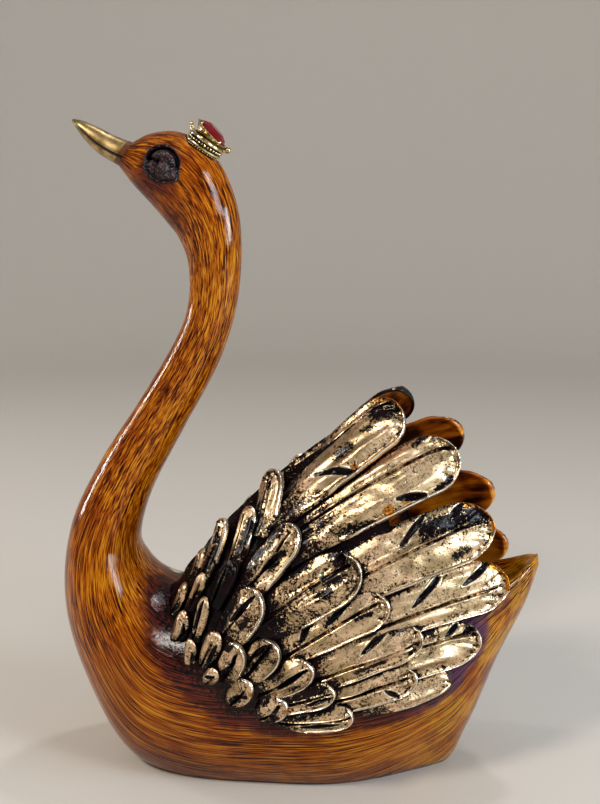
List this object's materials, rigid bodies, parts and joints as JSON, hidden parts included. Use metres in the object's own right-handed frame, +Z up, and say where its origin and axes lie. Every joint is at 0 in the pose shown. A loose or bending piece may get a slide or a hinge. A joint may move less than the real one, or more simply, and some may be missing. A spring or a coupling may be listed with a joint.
{
  "type": "swan ornament",
  "caption": "Standing swan ornament with an S-shaped neck, raised wings of carved feathers, a hull-shaped body on a flat base and a small jewelled crown.",
  "frame": {"origin": "on the flat underside, below the middle of the body", "axes": "+Z up, -X towards the head, Y across the body"},
  "size_m": [0.166, 0.0884, 0.2243],
  "materials": {
    "lacquered_resin": "gloss lacquer over brushed amber brown, feathers in pale gold with dark patina",
    "crown_metal": "antique gold",
    "red_stone": "polished facets"
  },
  "bodies": {
    "root": {"swan": "lacquered_resin", "crown": "crown_metal", "crown_stone": "red_stone"}
  },
  "joints": []
}
